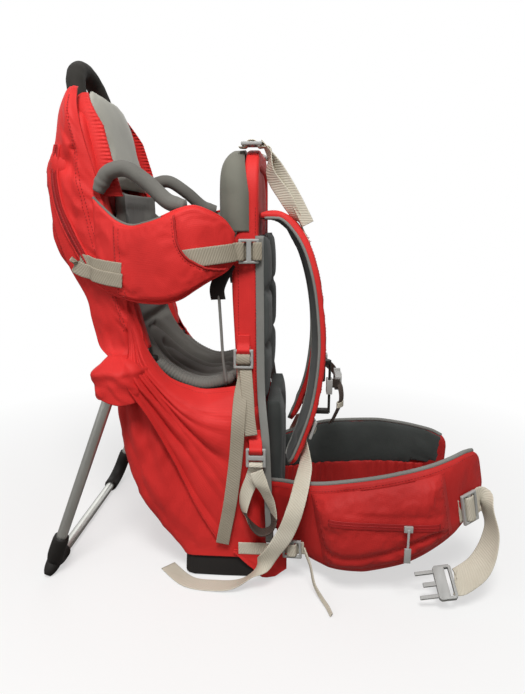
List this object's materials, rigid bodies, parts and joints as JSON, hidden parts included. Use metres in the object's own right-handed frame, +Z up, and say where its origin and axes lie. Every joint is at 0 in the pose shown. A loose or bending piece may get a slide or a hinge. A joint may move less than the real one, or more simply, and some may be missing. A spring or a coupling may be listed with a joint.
{
  "type": "child carrier backpack",
  "caption": "Framed hiking backpack with a padded child seat, storage bag, hip belt and shoulder harness, standing on its base and a fold-out kickstand.",
  "frame": {"origin": "on the floor, in the middle plane, under the base tray between the two hoops", "axes": "+X the way the wearer faces, +Y the wearer's left, +Z up"},
  "size_m": [0.6906, 0.4578, 0.776],
  "materials": {
    "red_cloth": "woven nylon, matt",
    "grey_mesh_pad": "brushed mesh over foam",
    "pale_grey_pad": "smooth knit over foam",
    "dark_grey_pad": "spacer mesh over foam",
    "beige_webbing": "woven polyester webbing",
    "grey_moulding": "injection moulded, satin",
    "black_moulding": "injection moulded, matt",
    "aluminium_tube": "drawn tube, anodised",
    "black_foam": "closed-cell foam grip",
    "black_rubber": "moulded rubber",
    "steel_pin": "turned, plain"
  },
  "bodies": {
    "pack": {"front_hoop": "aluminium_tube", "rear_hoop": "aluminium_tube", "base_hubs": "black_moulding", "base_crossbars": "aluminium_tube", "side_struts": "aluminium_tube", "handle_clamps": "black_moulding", "handle_rod": "aluminium_tube", "handle_grip": "black_foam", "pivot_brackets": "black_moulding", "pivot_pins": "steel_pin", "pivot_covers": "red_cloth", "base_tray": "black_moulding", "lower_body": "red_cloth", "front_sleeve": "red_cloth", "front_board": "dark_grey_pad", "face_pad": "grey_mesh_pad", "right_back_pad": "grey_mesh_pad", "left_back_pad": "grey_mesh_pad", "lumbar_pad": "dark_grey_pad", "rear_sleeve": "red_cloth", "headrest_pad": "pale_grey_pad", "seat_pad": "grey_mesh_pad", "leg_rolls": "grey_mesh_pad", "right_side_wing": "red_cloth", "left_side_wing": "red_cloth", "wing_rolls": "grey_mesh_pad", "storage_bag": "red_cloth", "rear_pocket": "red_cloth", "right_shoulder_strap": "red_cloth", "left_shoulder_strap": "red_cloth", "load_lifters": "beige_webbing", "load_lifter_locks": "grey_moulding", "shoulder_webs": "beige_webbing", "shoulder_locks": "grey_moulding", "chest_rails": "black_moulding", "wing_webs": "beige_webbing", "wing_locks": "grey_moulding", "side_webs": "beige_webbing", "side_locks": "grey_moulding", "stirrup_locks": "grey_moulding", "stabiliser_webs": "beige_webbing", "stabiliser_locks": "grey_moulding"},
    "kickstand": {"kickstand_bail": "aluminium_tube", "kickstand_feet": "black_rubber"},
    "right_hip": {"right_hip_wing": "red_cloth", "right_hip_pocket": "red_cloth", "right_waist_web": "beige_webbing", "waist_buckle_plug": "grey_moulding"},
    "left_hip": {"left_hip_wing": "red_cloth", "left_hip_pocket": "red_cloth", "left_waist_web": "beige_webbing", "waist_buckle_socket": "grey_moulding"},
    "right_zip": {"right_zip_slider": "grey_moulding"},
    "left_zip": {"left_zip_slider": "grey_moulding"},
    "right_foot_loop": {"right_stirrup": "beige_webbing"},
    "left_foot_loop": {"left_stirrup": "beige_webbing"},
    "chest_strap": {"chest_sliders": "grey_moulding", "chest_web": "beige_webbing", "chest_buckle": "grey_moulding"}
  },
  "joints": [
    {"name": "kickstand_fold", "type": "hinge", "parent": "pack", "child": "kickstand", "pos_m": [-0.155, 0, 0.325], "axis": [0, -1, 0], "range_deg": [0, 26]},
    {"name": "right_hip_fold", "type": "hinge", "parent": "pack", "child": "right_hip", "pos_m": [0.066, -0.096, 0.1], "axis": [0, 0, 1], "range_deg": [0, 14]},
    {"name": "left_hip_fold", "type": "hinge", "parent": "pack", "child": "left_hip", "pos_m": [0.066, 0.096, 0.1], "axis": [0, 0, -1], "range_deg": [0, 14]},
    {"name": "right_zip_run", "type": "slide", "parent": "right_hip", "child": "right_zip", "axis": [1, 0, 0], "range_m": [-0.104, 0.044]},
    {"name": "left_zip_run", "type": "slide", "parent": "left_hip", "child": "left_zip", "axis": [0.9744, 0, -0.225], "range_m": [-0.104, 0.044]},
    {"name": "chest_height", "type": "slide", "parent": "pack", "child": "chest_strap", "axis": [0, 0, 1], "range_m": [-0.024, 0.024]},
    {"name": "right_foot_loop_swing", "type": "hinge", "parent": "pack", "child": "right_foot_loop", "pos_m": [0.044, -0.1535, 0.1915], "axis": [-1, 0, 0], "range_deg": [0, 45]},
    {"name": "left_foot_loop_swing", "type": "hinge", "parent": "pack", "child": "left_foot_loop", "pos_m": [0.044, 0.1535, 0.1915], "axis": [1, 0, 0], "range_deg": [0, 45]}
  ]
}
